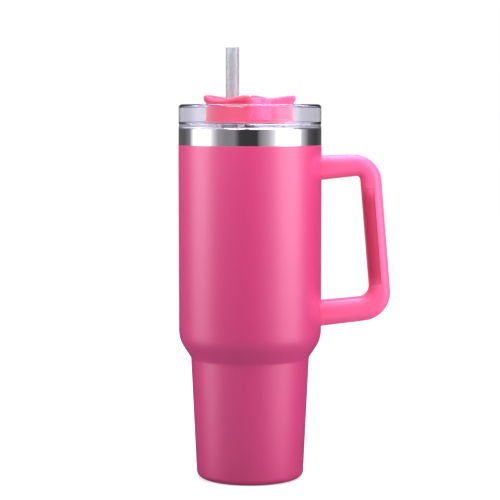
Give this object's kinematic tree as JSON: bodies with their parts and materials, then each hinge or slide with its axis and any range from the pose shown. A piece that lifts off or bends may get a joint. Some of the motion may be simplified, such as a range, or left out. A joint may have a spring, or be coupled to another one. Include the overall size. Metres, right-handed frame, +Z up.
{
  "type": "insulated tumbler with lid",
  "caption": "Tall double-wall steel tumbler with a narrow lower body, side handle, clear push-in lid, two-lobed turning cover and straight straw.",
  "frame": {"origin": "centre of the foot, on the vessel's axis, at the surface that it stands on", "axes": "+Z up the vessel's axis, +X towards the handle, -Y towards the side where the straw stands"},
  "size_m": [0.1475, 0.0994, 0.3004],
  "materials": {
    "coated_steel": "satin powder coat, bare polished band at the rim",
    "bare_steel": "brushed stainless",
    "solder": "dull",
    "getter_metal": "matte sintered",
    "base_plastic": "fine matte",
    "handle_plastic": "semi-gloss moulded",
    "grip_rubber": "soft-touch matte",
    "screw_steel": "bright",
    "clear_plastic": "clear moulded copolyester",
    "silicone": "translucent silicone",
    "cover_plastic": "moulded, semi-gloss",
    "washer_plastic": "natural",
    "straw_plastic": "frosted translucent tube"
  },
  "bodies": {
    "vessel": {"outer_shell": "coated_steel", "inner_liner": "bare_steel", "vacuum_base": "bare_steel", "vacuum_seal": "solder", "getter": "getter_metal", "base_disc": "base_plastic", "upper_bracket": "bare_steel", "lower_bracket": "bare_steel", "handle_frame": "handle_plastic", "handle_grip": "grip_rubber", "handle_screws": "screw_steel", "screw_plugs": "grip_rubber"},
    "lid": {"lid_body": "clear_plastic", "lid_gasket": "silicone"},
    "cover": {"rotating_cover": "cover_plastic", "cover_seal": "silicone", "straw_grommet": "silicone", "pivot_washer": "washer_plastic", "pivot_screw": "screw_steel"},
    "drinking_straw": {"straw": "straw_plastic"}
  },
  "joints": [
    {"name": "lid_lift", "type": "slide", "parent": "vessel", "child": "lid", "axis": [0, 0, 1], "range_m": [0, 0.24]},
    {"name": "cover_turn", "type": "hinge", "parent": "lid", "child": "cover", "pos_m": [0, 0, 0.2475], "axis": [0, 0, 1], "range_deg": [0, 80]},
    {"name": "straw_pull", "type": "slide", "parent": "cover", "child": "drinking_straw", "axis": [0, 0, 1], "range_m": [0, 0.26]}
  ]
}
